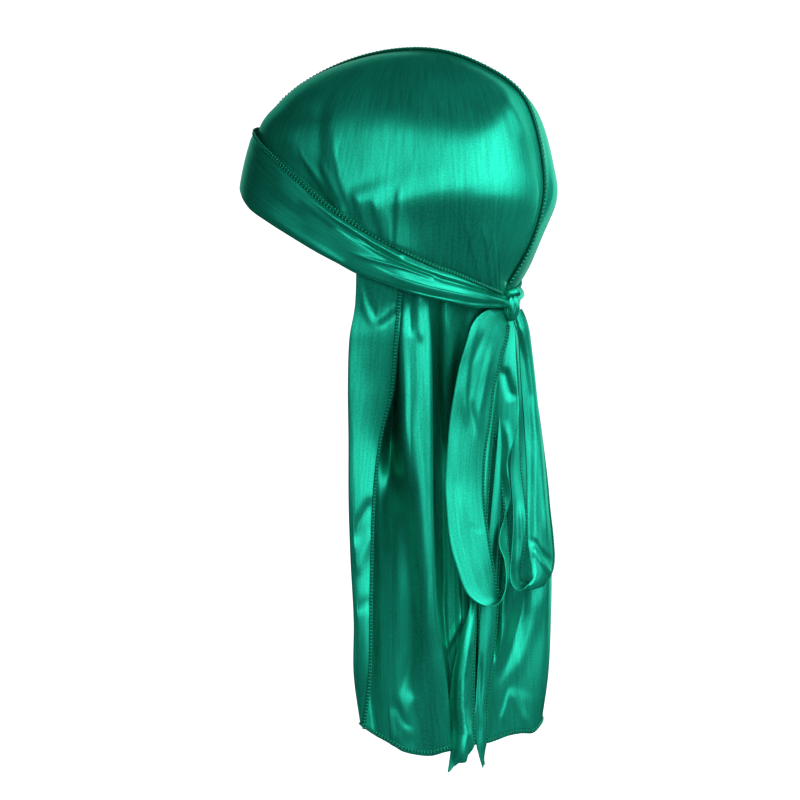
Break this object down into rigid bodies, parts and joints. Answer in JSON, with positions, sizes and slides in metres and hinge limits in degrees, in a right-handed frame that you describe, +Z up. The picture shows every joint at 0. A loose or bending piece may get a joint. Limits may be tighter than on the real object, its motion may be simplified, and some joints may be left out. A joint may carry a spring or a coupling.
{
  "type": "durag",
  "caption": "Satin durag in its worn form: panelled cap with raised seams, forehead band tied at the nape in a hanging bow, and a long gathered tail.",
  "frame": {"origin": "inside of the crown at its highest point, in the middle plane, where the cap rests on the head", "axes": "+Z up; -Y the way the wearer faces; +X to the wearer's left"},
  "size_m": [0.1738, 0.2047, 0.4672],
  "materials": {
    "satin": "smooth emerald green satin with broad soft highlights",
    "thread": "matt overlock stitching in the cloth's colour"
  },
  "bodies": {
    "root": {"crown_panel_left": "satin", "crown_panel_right": "satin", "crown_seam": "thread", "front_band": "satin", "band_seam": "thread", "tail_left": "satin", "tail_right": "satin", "tail_seam": "thread", "knot": "satin", "bow_loop_left": "satin", "bow_loop_right": "satin", "strap_end_left": "satin", "strap_end_right": "satin"}
  },
  "joints": []
}
